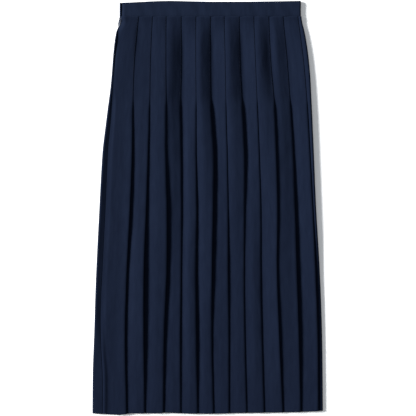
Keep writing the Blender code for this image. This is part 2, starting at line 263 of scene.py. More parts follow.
# painted highlight: below this height the lacquer is painted paler, more so towards the tab's tip
TAB_HIGHLIGHT_FROM, TAB_HIGHLIGHT_GROWTH = 0.389, 90.0  # metres up the skirt, and how fast it grows from there for each metre

thread_finish = Finish("sewing_thread", Specular_IOR_Level=0.1)
thread_x, thread_y, thread_z = thread_finish.places("Object")
ply = 0.5 + 0.5 * ((thread_x + thread_y + thread_z) * (2 * math.pi / PLY)).sine()
thread_finish.feed(
    Base_Color=thread_finish.mix(ply, (0.003, 0.005, 0.013), (0.007, 0.011, 0.026)),
    Roughness=0.55 + 0.1 * ply,
    Normal=thread_finish.bump(ply, 0.00003),
)

nylon = Finish("coil_nylon")
dye = nylon.noise(nylon.places("Object"), 3.0, 1800.0)
nylon.feed(
    Base_Color=nylon.mix(dye, (0.008, 0.012, 0.026), (0.016, 0.024, 0.046)),
    Roughness=0.38 + 0.12 * dye,
)

lacquer = Finish("zip_lacquer", Metallic=0.3, Coat_Weight=0.2, Coat_Roughness=0.15)
lacquer_places = lacquer.places("Object")
scuffs = lacquer.noise(lacquer_places, 5.0, 900.0)
# painted highlight: the tab's lacquer grows paler towards its tip
painted_highlight = (TAB_HIGHLIGHT_FROM - lacquer_places[1]) * TAB_HIGHLIGHT_GROWTH
lacquer.feed(
    Base_Color=lacquer.mix(0.4 * scuffs + painted_highlight, (0.045, 0.054, 0.080), (0.130, 0.150, 0.190)),
    Roughness=0.26 + 0.2 * scuffs,
    Normal=lacquer.bump(scuffs, 0.00002),
)
print("finishes:", [material.name for material in bpy.data.materials])

# %% [markdown] ## The floor  The skirt lies on a table so bright that it is pure white outside the shadow.
# White paint alone would turn grey before it does that, so the floor also glows a little.

# %% Floor
FLOOR_SIZE, FLOOR_Z = 12, -0.1

floor_finish = Finish("light_table", Roughness=0.9, Emission_Strength=0.16, Emission_Color=(1, 1, 1, 1))
grain = floor_finish.noise(floor_finish.places("Object"), 3.0, 60.0)
floor_finish.feed(Base_Color=floor_finish.mix(grain, (0.90, 0.90, 0.90), (0.93, 0.93, 0.93)))

bpy.ops.mesh.primitive_plane_add(size=FLOOR_SIZE, location=(0, 0, FLOOR_Z * MM))
floor = bpy.context.object
floor.name = "floor"
floor.data.materials.append(floor_finish.material)
print("floor", FLOOR_SIZE, "m across")

# %% [markdown]
# ## Curves and grids
#
# A cloth panel is a grid: one line of points across for each distance down from the waist seam. The shape
# comes from short tables, one row for each fold, that give a size at a few heights. `smooth` draws a cubic
# curve through such a row, so that the cloth bends where the CAD solids have straight stretches.


# %% Curves
def smooth(at, stations, values):
    """A cubic through the stations, whose slope at each is the mean of the chords beside it."""
    stations, values = np.asarray(stations, float), np.asarray(values, float)
    slopes = np.gradient(values, stations, axis=-1)
    i = np.clip(np.searchsorted(stations, at, side="right") - 1, 0, len(stations) - 2)
    step = stations[i + 1] - stations[i]
    t = (at - stations[i]) / step
    start, end = values[..., i], values[..., i + 1]
    bend = (t**3 - 2 * t**2 + t) * slopes[..., i] + (t**3 - t**2) * slopes[..., i + 1]
    return (2 * t**3 - 3 * t**2 + 1) * start + (3 * t**2 - 2 * t**3) * end + bend * step


def ease(t):
    """From 0 to 1 with level ends: 3 t^2 - 2 t^3."""
    t = np.clip(t, 0, 1)
    return t * t * (3 - 2 * t)


def bell(t):
    """1 at 0, falling away to both sides: e to the power of -t^2."""
    return np.exp(-(t**2))


def level(x, line):
    """The second column of a line's table at x, straight between its rows."""
    return np.interp(x, *np.array(line).T)


def unit(vectors):
    """The same directions, each divided by its own length."""
    return vectors / np.linalg.norm(vectors, axis=-1, keepdims=True)


def distances(points):
    """How far along a line each of its points lies: the running sum of its steps."""
    return np.concatenate([[0], np.cumsum(np.linalg.norm(np.diff(points, axis=0), axis=1))])


print("a quarter of the way:", ease(0.25), "by ease and", smooth(0.25, (0, 1, 2), (0, 1, 0)), "by smooth")


# %% [markdown]
# Every piece below is a grid of points with a face between each four neighbours. A cloth's UV map says where
# each point lies on the flat cloth, so that the weave keeps its real size.


# %% Pieces from grids
def quads(rows, columns, close_rows=False, close_columns=False):
    """Faces between neighbours in a grid of points. A closed side meets the first row or column again."""
    index = np.arange(rows * columns).reshape(rows, columns)
    index = np.pad(index, ((0, int(close_rows)), (0, int(close_columns))), mode="wrap")
    return np.stack([index[:-1, :-1], index[1:, :-1], index[1:, 1:], index[:-1, 1:]], -1).reshape(-1, 4)


def new_piece(name, points, faces, finish, body, uv=None):
    """A smooth mesh of points in millimetres, riding on a body. uv gives each point's place in metres."""
    mesh = bpy.data.meshes.new(name)
    mesh.from_pydata((points.reshape(-1, 3) * MM).tolist(), [], faces)
    if uv is not None:
        point_of_corner = np.empty(len(mesh.loops), np.int32)
        mesh.loops.foreach_get("vertex_index", point_of_corner)
        mesh.uv_layers.new(name="cloth").data.foreach_set("uv", uv.reshape(-1, 2)[point_of_corner].ravel())
    mesh.polygons.foreach_set("use_smooth", np.ones(len(faces), bool))
    mesh.materials.append(finish)
    piece = bpy.data.objects.new(name, mesh)
    scene.collection.objects.link(piece)
    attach(piece, body)
    return piece


def measured(u, v):
    """A UV map for a grid from millimetres down its rows and along its columns."""
    return np.stack(np.broadcast_arrays(u, v), -1) * MM


def sheet_piece(name, grid, finish, wall, body="skirt"):
    """A grid of points, rows by columns, as cloth with a wall of this thickness.

    The UV map measures the cloth: u along the mean row and v down the first column.
    """
    steps = np.linalg.norm(np.diff(grid, axis=1), axis=2).mean(axis=0)
    u, v = np.concatenate([[0], np.cumsum(steps)]), distances(grid[:, 0])
    uv = measured(u[None, :], v[:, None])
    piece = new_piece(name, grid, quads(*grid.shape[:2]).tolist(), finish, body, uv)
    thicken = piece.modifiers.new("wall", "SOLIDIFY")
    thicken.thickness = wall * MM
    thicken.offset = 0
    thicken.use_even_offset = True
    return piece


print("a ring of 6 points on 3 lines has", len(quads(3, 6, close_columns=True)), "faces")

# %% [markdown]
# ## The outline
#
# These are the part's own sizes, which the solids share. A drop is a distance below the waist seam. Two
# tables say where the side edges lie at a drop, and two where the hem and the waistband's top run. The left
# edge has the most rows, because the zip in it makes the cloth buckle under the waistband.

# %% Outline
SEAM_Y, TUCK, HEM_DROP = 401.4, 1.0, 833.0

LEFT_EDGE = (  # drop, x
    (0, -185.3),
    (6, -185.0),
    (12, -185.1),
    (17, -186.1),
    (24, -188.8),
    (30, -191.4),
    (38, -193.2),
    (50, -195.2),
    (70, -197.6),
    (91, -199.5),
    (112, -201.0),
    (154, -204.9),
    (180, -208.4),
    (238, -215.8),
    (280, -220.8),
    (322, -223.6),
    (406, -228.0),
    (490, -232.3),
    (574, -236.0),
    (658, -238.5),
    (742, -241.6),
    (833, -242.5),
)
RIGHT_EDGE = (  # drop, x
    (0, 197.1),
    (14, 199.2),
    (30, 203.2),
    (70, 210.1),
    (112, 214.7),
    (180, 218.5),
    (280, 223.0),
    (406, 228.2),
    (532, 235.6),
    (658, 240.4),
    (833, 242.5),
)
HEM_LINE = (  # x, y
    (-242.5, -432.6),
    (-211.0, -434.2),
    (-186.2, -435.4),
    (-161.0, -432.4),
    (-110.0, -432.1),
    (-85.0, -431.1),
    (-35.0, -432.9),
    (15.4, -433.0),
    (66.0, -431.5),
    (116.0, -431.0),
    (191.8, -429.5),
    (242.5, -427.0),
)
TOP_LINE = (  # x, y
    (-185.5, 430.4),
    (-161.0, 431.3),
    (-119.0, 433.5),
    (-98.0, 434.3),
    (-77.0, 434.6),
    (-35.0, 433.6),
    (7.0, 432.7),
    (91.0, 432.9),
    (154.0, 433.8),
    (196.4, 434.6),
)

ROW_SPACING = (  # from drop, to drop, rows: closest under the waistband and at the release
    (0, 36, 13),
    (36, 164, 18),
    (164, 192, 8),
    (192, 812, 80),
)
HEM_ROWS = (817, 821, 824.5, 826.5, 827.5, 828.5, 830.5, 833)
drops = np.unique(np.concatenate([np.linspace(*spacing) for spacing in ROW_SPACING] + [HEM_ROWS]))
left, right = (smooth(drops, *np.array(edge).T) for edge in (LEFT_EDGE, RIGHT_EDGE))
print(len(drops), "rows,", (right - left)[[0, -1]].round(), "mm wide at the waist and the hem")

# %% [markdown]
# ## The folds
#
# Twelve knife pleats all turn the same way. The table gives each fold's x at the waist, hip, release, thigh,
# above the knee, knee, calf and hem. From the waist to the release, 172 mm lower, the pleats are stitched
# down flat, and below it each one springs open in its own way. A pleat takes 70.5 mm of cloth: its face, and
# two hidden layers that share the rest.

# %% Folds
RELEASE, RELEASE_REACH, RELEASE_BEFORE = 172.0, 30, 6
PLEAT_CLOTH = 70.5
PRESSED, LOOSE = 0.42, 0.85  # the room that one layer takes, stitched down and free

FOLD_DROPS = (0, 91, 180, 280, 406, 532, 658, 833)
FOLD_X = (
    (-145.4, -154.0, -157.4, -158.7, -163.3, -169.8, -173.6, -170.6),
    (-116.4, -120.4, -122.1, -125.1, -129.3, -133.8, -134.4, -132.4),
    (-87.7, -88.1, -87.7, -88.3, -85.5, -86.0, -91.2, -93.3),
    (-56.2, -55.3, -57.4, -55.8, -55.1, -55.8, -57.6, -57.0),
    (-25.3, -25.3, -24.7, -24.7, -23.2, -24.9, -24.0, -21.3),
    (5.4, 5.1, 6.2, 12.3, 11.3, 9.0, 8.3, 12.1),
    (34.3, 36.4, 37.9, 40.4, 42.3, 42.7, 44.2, 44.8),
    (65.8, 67.5, 71.7, 76.8, 77.0, 76.3, 77.6, 81.8),
    (96.3, 99.9, 103.6, 107.6, 111.4, 111.8, 113.9, 118.5),
    (127.8, 132.2, 139.1, 143.1, 146.3, 145.5, 149.6, 157.8),
    (157.8, 166.6, 172.9, 179.0, 183.3, 187.0, 191.0, 195.4),
    (188.9, 200.7, 208.2, 214.0, 220.2, 225.8, 230.4, 232.6),
)
folds = smooth(drops, FOLD_DROPS, FOLD_X)
loose = ease((drops - RELEASE + RELEASE_BEFORE) / RELEASE_REACH)
layer = PRESSED + (LOOSE - PRESSED) * loose
depth = (PLEAT_CLOTH - (folds[-1] - folds[0]) / (len(folds) - 1)) / 2
print(len(folds), "pleats, hidden by", depth.min().round(1), "to", depth.max().round(1), "mm")

# %% [markdown]
# ## The wave under the front
#
# The front doesn't lie level: at the hip it stands off the back in four high waves, which make the pairs of
# light and dark faces there. The table follows one wave after another from left to right. Each mark has a
# place, given by a fold and a share of the face that follows it, and a height at ten drops. Towards the next
# mark the cloth rises evenly or bends down by a power, and a running mean rounds crests and troughs.

# %% Wave
BACK_Z, FRONT_Z = 0.5, 4.9
ROUNDED_OVER = (-4.5, -1.5, 1.5, 4.5)
BAND_LIFT, BAND_REACH = 1.7, 9

WAVE_DROPS = (0, 31, 58, 110, 180, 280, 406, 532, 658, 833)
WAVE = (  # fold, share, power, height at each drop
    (0, -0.60, 1.0, 0.3, 2.0, 2.8, 2.7, 2.0, 0.8, 0.5, 0.5, 0.5, 0.5),
    (0, 0.00, 1.0, 0.3, 2.2, 2.8, 3.0, 3.0, 1.2, 0.5, 0.5, 0.5, 0.5),
    (0, 0.16, 1.0, 0.3, -0.2, 0.6, 2.6, 3.0, 1.2, 0.6, 0.5, 0.5, 0.5),
    (1, 0.00, 1.5, 0.3, 1.4, 2.2, 3.2, 4.2, 2.8, 2.0, 1.5, 1.0, 0.5),
    (2, 0.00, 1.0, 0.5, 3.0, 5.2, 6.0, 6.4, 5.0, 3.0, 1.0, 0.5, 0.5),
    (2, 0.33, 1.0, 0.4, 2.2, 5.0, 5.6, 4.0, 2.6, 1.4, 0.9, 0.6, 0.5),
    (3, 0.13, 1.0, 0.2, -1.8, -3.0, -3.0, -2.6, -2.0, -0.5, 0.8, 0.8, 0.5),
    (4, 0.20, 1.5, 0.5, 3.2, 5.0, 5.2, 5.0, 4.5, 2.5, 0.5, 0.2, 0.5),
    (5, 0.15, 1.0, 0.2, -1.8, -3.0, -3.0, -2.4, -1.8, 0.0, 0.8, 1.0, 0.5),
    (6, 0.20, 1.5, 0.5, 3.2, 5.0, 5.2, 5.0, 4.5, 2.5, 0.5, 0.5, 0.5),
    (7, 0.15, 1.0, 0.2, -1.8, -3.0, -3.0, -2.0, -0.8, 0.5, 1.0, 1.0, 0.5),
    (8, 0.20, 1.5, 0.5, 3.2, 5.0, 5.2, 4.8, 4.8, 2.0, 0.5, 0.5, 0.5),
    (9, 0.00, 1.0, 0.2, -1.6, -2.6, -2.6, 1.2, 4.2, 4.9, 4.4, 3.2, 0.5),
    (9, 0.35, 1.0, 0.2, 0.6, 1.2, 0.8, 1.2, 3.0, 3.5, 2.8, 2.0, 0.4),
    (10, 0.08, 1.0, 0.2, -1.8, -3.0, -3.0, -2.4, -2.3, -2.2, -2.0, -1.0, 0.3),
    (11, 0.00, 1.0, 0.3, 1.0, 1.5, 2.0, 3.0, 3.0, 2.8, 1.4, 0.8, 0.6),
)
mark_fold, mark_share, mark_power = np.array(WAVE).T[:3]
mark_fold = mark_fold.astype(int)
face_width = np.diff(folds, axis=0, append=folds[-1:])
marks = folds[mark_fold] + mark_share[:, None] * face_width[mark_fold]
waves = smooth(drops, WAVE_DROPS, np.array(WAVE)[:, 3:])


def billow(x):
    """Height of the front's lowest layer at x, one value or a line of them for each row.

    Between two marks the height goes by the share of the way, to the first mark's power where it falls. The
    mean of four places rounds it. Under the waistband the cloth comes up to the band's face by a bell curve.
    """
    x = np.asarray(x)
    places = np.vstack([left, marks, right])
    heights = np.vstack([0 * left + 0.4, waves, waves[-1]])
    powers = [1.0, *mark_power]
    z = np.zeros_like(x)
    for shift in ROUNDED_OVER:
        at = np.clip(x + shift, left, right)
        for a, b, start, end, power in zip(places[:-1], places[1:], heights[:-1], heights[1:], powers):
            share = np.clip((at - a) / (b - a), 0, 1)
            share = np.where(end < start, share**power, share)
            z = z + np.where((at >= a) & (at < b), start + (end - start) * share, 0) / len(ROUNDED_OVER)
        z = z + np.where(at >= right, heights[-1], 0) / len(ROUNDED_OVER)
    return FRONT_Z + z + BAND_LIFT * bell(drops / BAND_REACH)


print("the wave goes from", (FRONT_Z + waves.min()).round(1), "to", (FRONT_Z + waves.max()).round(1), "mm up")

# %% [markdown]
# ## The left side, where the back wraps round
#
# The back panel comes up round the left side in a soft roll and goes on over the front for up to two
# centimetres, sloping down to the side seam. The seam lies in a groove, and the front panel rises out of it.
# Beside the pull tab, 10 to 22 mm below the waist seam, the roll is pressed low, so that the tab lies on it.
# Both panels use the same seam, so they are worked out together.

# %% Left side
SHELL = 0.35  # the cloth's wall
SIDE_ROLL = 3.2  # half the width of the roll at either side

# turn: degrees of the roll that the back covers. roll: its height. strip, sink: how far in and down the back
# goes on to the seam. late: how late it bends down, 1 for a straight slope. run, lift: how far the front
# takes to rise from the seam to its own height, and how far above it. ridge: a bulge on the way.
LEFT_SIDE = (  # drop, turn, roll, strip, sink, late, run, lift, ridge
    (0, 105, 6.8, 0.0, 0.0, 1.0, 6.5, 0.9, 0.0),
    (5, 115, 6.0, 0.0, 0.1, 1.0, 6.5, 0.9, 0.0),
    (10, 140, 4.0, 0.0, 0.1, 1.0, 6.5, 0.7, 0.0),
    (22, 140, 4.0, 0.0, 0.2, 1.0, 6.5, 0.6, 0.0),
    (32, 155, 6.9, 0.0, 1.6, 1.0, 5.0, 0.4, 0.0),
    (91, 165, 7.4, 0.3, 1.9, 1.0, 5.0, 0.3, 0.0),
    (130, 175, 7.8, 0.4, 0.8, 1.0, 5.5, 0.6, 0.0),
    (155, 178, 8.0, 1.4, 1.2, 1.0, 6.0, 0.6, 0.0),
    (180, 180, 8.2, 4.0, 2.0, 1.0, 7.0, 0.6, 0.0),
    (280, 180, 8.4, 8.3, 2.8, 1.0, 9.0, 0.5, 0.0),
    (406, 180, 8.4, 10.0, 2.9, 1.0, 10.0, 0.3, 0.0),
    (532, 180, 8.2, 10.0, 2.7, 1.0, 10.0, 0.2, 0.0),
    (658, 180, 7.8, 10.5, 2.0, 1.4, 10.0, 0.0, 0.2),
    (700, 180, 7.6, 14.0, 0.8, 2.0, 9.5, -0.3, 0.7),
    (742, 180, 7.4, 17.8, 0.1, 2.0, 11.0, -0.6, 1.0),
    (833, 180, 7.0, 19.2, 0.0, 2.0, 11.0, -0.8, 1.0),
)
side_drops, *side_columns = np.array(LEFT_SIDE).T
turn, roll, strip, sink, late, run, lift, ridge = smooth(drops, side_drops, side_columns)
turn, strip = np.clip(turn, 100, 180), np.maximum(strip, 0)
sink, late = np.maximum(sink, 0), np.maximum(late, 1)


def left_roll(degrees):
    """On the roll at the left side, an ellipse: 0 degrees is on the floor, 90 is outermost, 180 is on top."""
    half = (roll - BACK_Z) / 2
    angle = np.radians(270 - degrees)
    x = left + SHELL / 2 + SIDE_ROLL + SIDE_ROLL * np.cos(angle)
    return x, BACK_Z + half + half * np.sin(angle)


roll_x, roll_z = left_roll(turn)
seam_x, seam_z = roll_x + strip, roll_z - sink


def left_wrap():
    """The back from the floor round the side and over to the seam: the roll, then a strip that sinks."""
    around = [left_roll(turn * s) for s in np.linspace(0, 1, 15)]
    over = [(roll_x + strip * s, roll_z - sink * s**late) for s in np.linspace(0, 1, 9)[1:]]
    return around + over


inside = seam_x - left
print("the seam lies", inside.min().round(1), "to", inside.max().round(1), "mm inside the left edge")

# %% [markdown]
# ## From the seam to the first face
#
# The front panel leaves the seam in the direction of the roll and becomes level at its own height, as a
# strip of springy cloth does: a cubic with a pull at its start. Near the hem it rides over a low ridge, and
# there its edge laps a little over the back's.

# %% First stretch of the front
FIRST_PULL = 2.4
LAP_X, LAP_Z, LAP_FROM, LAP_REACH = 0.3, 0.08, 640, 60
RIDGE_AT, RIDGE_WIDTH = 0.35, 0.24


def first_stretch():
    """Columns from the seam to the first face, by t from 0 to 1.

    The end counts by b = t^3 + 3 t^2 (1 - t) and the start by 1 - b. The roll's heading pulls by
    3 t (1 - t)^2, and the ridge is a bell curve.
    """
    lapped = ease((drops - LAP_FROM) / LAP_REACH)
    start_x, start_z = seam_x - LAP_X * lapped, seam_z + LAP_Z * lapped
    end_x = np.maximum(seam_x, left_roll(180.0)[0]) + run
    end_z = billow(end_x) + 2 * layer + lift
    heading = np.radians(turn)
    line = []
    for t in np.linspace(0, 1, 13):
        a, b = (1 - t) ** 3 + 3 * t * (1 - t) ** 2, t**3 + 3 * t**2 * (1 - t)
        pull = 3 * t * (1 - t) ** 2 * FIRST_PULL
        bulge = ridge * (bell((t - RIDGE_AT) / RIDGE_WIDTH) - (1 - t) * 0.08)
        x = start_x * a + end_x * b - pull * np.cos(heading)
        line.append((x, start_z * a + end_z * b + pull * np.sin(heading) + bulge))
    return line


print("the first stretch takes", run.min().round(1), "to", run.max().round(1), "mm")

# %% [markdown]
# ## One pleat
#
# A knife pleat is a Z of cloth: the face runs to the right, turns under at the fold, runs back beneath itself
# and turns again to become the next face. Two tables give each pleat its character below the release: how
# far its fold springs open, and how far the middle of its face rounds up.

# %% One pleat
FOLD_OPEN = (
    (0.4, 0.4, 1.2, 3.2, 4.7, 3.2, 3.2, 1.7),
    (0.4, 0.4, 0.8, 2.2, 3.7, 6.2, 5.7, 1.2),
    (0.4, 0.4, 1.2, 2.2, 5.2, 5.2, 4.2, 1.7),
    (0.4, 0.4, 1.5, 1.7, 1.7, 1.2, 2.2, 1.0),
    (0.4, 0.4, 0.8, 1.2, 2.7, 3.2, 4.2, 1.2),
    (0.4, 0.4, 3.0, 5.2, 5.7, 5.2, 2.2, 1.2),
    (0.4, 0.4, 0.5, 0.8, 1.2, 2.7, 1.7, 1.0),
    (0.4, 0.4, 3.0, 4.2, 1.7, 1.0, 1.0, 1.0),
    (0.4, 0.4, 0.7, 0.8, 0.8, 1.0, 1.2, 1.2),
    (0.4, 0.4, 2.2, 3.2, 3.2, 2.7, 3.7, 1.7),
    (0.4, 0.4, 1.7, 2.2, 4.2, 5.2, 5.2, 2.2),
    (0.4, 0.4, 0.7, 0.8, 1.7, 3.2, 3.2, 2.2),
)
FACE_ROUND = {  # by pleat, and none for the rest
    1: (0.0, 0.0, 0.0, 0.0, 0.2, 1.5, 1.2, 0.1),
    2: (0.0, 0.0, 0.0, 0.6, 1.7, 1.8, 1.6, 0.2),
    4: (0.0, 0.0, 0.2, 1.2, 1.4, 1.8, 1.9, 0.3),
    5: (0.0, 0.0, 0.3, 1.0, 1.0, 1.0, 1.2, 0.2),
    8: (0.0, 0.0, 0.0, 0.2, 0.2, 1.1, 1.1, 0.0),
}
SWAY, SWAY_FROM, SWAY_REACH = 0.25, 150, 120
RUCK, RUCK_AT, RUCK_REACH = 1.3, 24, 22
EDGE_WIDTH, EDGE_PRESSED, EDGE_LOOSE = 5.0, 0.15, 0.75
FACE_STEPS = np.concatenate([np.linspace(0, 0.8, 10), [0.87, 0.92, 0.96, 0.985, 1.0]])
opened = np.maximum(smooth(drops, FOLD_DROPS, FOLD_OPEN), 0.1) * (0.15 + 0.85 * loose)


def pleat_face(k, before, rise, inner, outer):
    """The face of pleat k, from before, where it comes out, to outer, its own fold. inner is its hidden fold.

    Its height is the wave's, plus the layers beneath: from rise to two layers at the hidden fold, and from
    there on what the fold springs open. To that come a slow sway from waist to hem, rucks under the waistband
    that die away across the face, the table's rounding as a half sine, and a cubic that turns the edge down.
    """
    sway = SWAY * np.sin(drops / (61 + 7 * (k % 5)) * 2 * math.pi + 1.7 * k)
    sway = sway * ease((drops - SWAY_FROM) / SWAY_REACH)
    rucked = bell((drops - RUCK_AT) / RUCK_REACH)
    rounded = smooth(drops, FOLD_DROPS, FACE_ROUND.get(k, (0.0,) * len(FOLD_DROPS)))
    line = []
    for s in FACE_STEPS[1 if k == 0 else 0 :]:
        x = before + (outer - before) * s
        climb = np.clip((x - before) / np.maximum(inner - before, 1), 0, 1) ** 1.15
        spring = np.clip((x - inner) / (outer - inner), 0, 1) ** 1.3
        top = billow(x) + rise + (2 * layer - rise) * climb + opened[k] * (0.35 * climb + 0.65 * spring)
        top = top + sway * np.sin(math.pi * s) * (1 if k else 0.5) + RUCK * rucked * (1 - s) * s**0.4
        top = top + rounded * math.sin(math.pi * max((s - 0.2) / 0.8, 0))
        edge = np.clip((x - outer + EDGE_WIDTH) / EDGE_WIDTH, 0, 1)
        line.append((x, top - (EDGE_PRESSED + EDGE_LOOSE * loose) * edge**3))
    return line


def arc(x, z, radius, start, end, count):
    """Points on a circle about x, z. 90 degrees is up."""
    angles = np.radians(np.linspace(start, end, count))
    return [(x + radius * np.cos(a), z + radius * np.sin(a)) for a in angles]


def turned_under(top, radius, inner, outer):
    """From a fold at this height back beneath its face, and out again along the lowest layer."""
    under = top - 2 * radius
    line = arc(outer, top - radius, radius, 90, -90, 7)[1:]
    for s in (0.33, 0.66):
        line.append((outer + (inner - outer) * s, under + (billow(inner) + layer - under) * ease(s)))
    line += arc(inner, billow(inner) + layer / 2, layer / 2, 90, 270, 5)
    for s in (0.4, 0.8):
        x = inner + (outer - inner) * s
        line.append((x, billow(x)))
    return line


print("folds open by", opened.min().round(2), "to", opened.max().round(1), "mm")

# %% [markdown]
# ## The front panel
#
# The section follows the cloth from left to right: the first stretch, the twelve pleats, and a roll at the
# right side, where the front puffs up a little and meets the back halfway down. All rows are worked out at
# once, because every x and z here is an array with one value for each row.

# %% Front panel
PUFF, PUFF_END, PUFF_REACH = 1.5, 560, 120
SHORT = 0.15  # where a front and a back meet, each stops this much short
FACE_GAP = 0.6  # from a fold to where the next face comes out

puff = PUFF * ease((PUFF_END - drops) / PUFF_REACH)
right_half = (billow(right) + puff - BACK_Z) / 2
right_centre = right - SHELL / 2 - SIDE_ROLL


def right_roll(degrees):
    """On the roll at the right side, an ellipse: -90 degrees is below, 0 is outermost and 90 is on top."""
    angle = math.radians(degrees)
    return right_centre + SIDE_ROLL * np.cos(angle), BACK_Z + right_half + right_half * np.sin(angle)


def front_sections():
    """The columns of the front from left to right, each as x and z, and the range of columns in each face."""
    line, faces = first_stretch(), []
    before, rise = line[-1][0], 2 * layer + lift
    for k, fold in enumerate(folds):
        radius = layer / 2 + 0.05 * opened[k]
        inner, outer = fold - depth + layer / 2, fold - radius
        face = pleat_face(k, before, rise, inner, outer)
        faces.append((len(line), len(line) + len(face)))
        line += face + turned_under(face[-1][1], radius, inner, outer)
        before, rise = fold + FACE_GAP, 0.0
    for s in np.linspace(0, 1, 6)[:-1]:
        x = before + np.maximum(right_centre - before, 0.5) * s
        line.append((x, billow(x) + puff * ease(s)))
    line += [right_roll(degrees) for degrees in np.linspace(90, 0, 8)]
    line[-1] = (line[-1][0], line[-1][1] + SHORT)
    return line, faces


def panel_grid(line):
    """Columns of x and z as one grid of points, each row the same share of the way down to the hem's line."""
    x = np.stack([np.broadcast_to(column[0], drops.shape) for column in line], 1)
    z = np.stack([np.broadcast_to(column[1], drops.shape) for column in line], 1)
    top = SEAM_Y + TUCK
    return np.stack([x, top + (level(x, HEM_LINE) - top) * (drops / HEM_DROP)[:, None], z], 2)


front_line, front_faces = front_sections()
front_grid = panel_grid(front_line)
front = sheet_piece("front_cloth", front_grid, skirt_cloth, SHELL)
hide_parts("front_panel")
print("front", front_grid.shape, "height to", front_grid[..., 2].max().round(1), "mm")

# %% [markdown]
# ## The back panel
#
# The back has the same pleats turned over, and its faces lie flat on the floor. The photograph doesn't show
# it, so its folds are even and pressed. It starts with the wrap round the left side, and its seams are the
# front's.

# %% Back panel
FLAT = SHELL / 2  # height of the cloth's middle where it lies on the floor
STEP_BEFORE, STEP_WIDTH = 7.5, 7.0  # where a face steps up over the next one's fold, and over what width
BACK_SWELL = 0.12


def back_pleat(k, before, fold):
    """One pleat: the face on the floor, the step up, the hidden layers and the turn down at the next face.

    The face swells off the floor by a half sine, and that swell waxes and wanes as a sine down the skirt.
    """
    inner, outer, start = fold + depth - layer / 2, fold + layer / 2, fold - STEP_BEFORE
    swell = BACK_SWELL * (1 + np.sin(drops / (70 + 9 * (k % 4)) * 2 * math.pi + 2.1 * k))
    line = []
    for s in (0.12, 0.35, 0.6, 0.85, 1.0):
        line.append((before + (start - before) * s, FLAT + swell * np.sin(math.pi * s)))
    line += [(start + STEP_WIDTH * s, FLAT + 2 * layer * ease(s)) for s in (0.3, 0.55, 0.8, 1.0)]
    line += [(fold + depth * s, FLAT + 2 * layer) for s in (0.3, 0.65)]
    line += arc(inner, FLAT + 1.5 * layer, layer / 2, 90, -90, 5)
    line += [(inner + (outer - inner) * s, FLAT + layer) for s in (0.33, 0.66)]
    return line + arc(outer, FLAT + layer / 2, layer / 2, 90, 270, 7)


def back_sections():
    """The columns of the back from the seam to the middle of the right side, each as x and z."""
    on_floor = np.full_like(drops, FLAT)
    wrap = left_wrap()
    line = wrap[:0:-1] + [(wrap[0][0], on_floor)]
    before = wrap[0][0]
    for k, fold in enumerate(np.linspace(folds[0], folds[-1], len(folds)) - depth):
        line += back_pleat(k, before, fold)
        before = fold + layer / 2
    line += [(before + (right_centre - before) * s, on_floor) for s in (0.3, 0.6, 0.85)]
    line.append((right_roll(-90)[0], on_floor))
    line += [right_roll(degrees) for degrees in np.linspace(-90, 0, 8)[1:]]
    line[-1] = (line[-1][0], line[-1][1] - SHORT)
    return line


back_grid = panel_grid(back_sections())
back = sheet_piece("back_cloth", back_grid, skirt_cloth, SHELL)
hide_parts("back_panel")
print("back", back_grid.shape, "lowest", back_grid[..., 2].min().round(2), "mm")

# %% [markdown]
# ## The waistband
#
# The band is a strip folded lengthwise over a stiffening. The front half lies on the back half, and the
# back half wraps round the left side for a few millimetres, as the panel below it does. First comes the path
# that each half follows, seen from the hem: a level stretch, and turns at the sides.

# %% Waistband's path
BAND_LEFT, BAND_RIGHT = -185.5, 196.4
BAND_RADIUS = 2.6  # of the turns at the sides
BAND_INSET = 1.5  # from the outline, and from the floor, to the middle of the wall
BAND_MIDDLE_Z = BAND_INSET + BAND_RADIUS
LEVEL_STEPS = 190
DIP, DIP_WIDTH = 1.4, 7  # at its left end the front half lies this much lower


def band_turn(x, degrees):
    """Points on the band's turn about x. 0 degrees points to the right, and 90 is up."""
    angle = np.radians(degrees)
    return np.column_stack([x + BAND_RADIUS * np.cos(angle), BAND_MIDDLE_Z + BAND_RADIUS * np.sin(angle)])


def band_path(is_front):
    """x and z of the band's middle, from left to right."""
    left_x, right_x = BAND_LEFT + BAND_INSET + BAND_RADIUS, BAND_RIGHT - BAND_INSET - BAND_RADIUS
    up = 1 if is_front else -1
    level_x = np.linspace(left_x, right_x, LEVEL_STEPS)
    level_part = np.column_stack([level_x, np.full(LEVEL_STEPS, BAND_MIDDLE_Z + up * BAND_RADIUS)])
    right_part = band_turn(right_x, np.linspace(90, 4, 9)[1:] * up)
    if is_front:
        level_part[0, 0] += SHORT
        level_part[:, 1] -= DIP * (1 - ease((level_x - left_x) / DIP_WIDTH))
        return np.vstack([level_part, right_part])
    left_part = band_turn(left_x, np.linspace(91, 270, 18)[:-1])
    left_part[0, 0] -= SHORT
    return np.vstack([left_part, level_part, right_part])


print("the halves' paths have", len(band_path(True)), "and", len(band_path(False)), "steps")

# %% [markdown]
# Each half is a closed rounded profile that is carried along that path. Its top and bottom edges are round,
# and a shallow pressed line runs just under the top edge, where the layers are stitched together.

# %% Waistband
BAND_WALL, BAND_EDGE = 2.6, 0.5
BAND_CORNER = (0, 22, 45, 67, 90)  # degrees round an edge
BAND_STEPS = (0.12, 0.3, 0.5, 0.7, 0.82, 0.875, 0.90, 0.925, 0.955)  # shares of the height
PRESSED_AT, PRESSED_WIDTH, PRESSED_DEPTH = 0.90, 0.022, 0.17


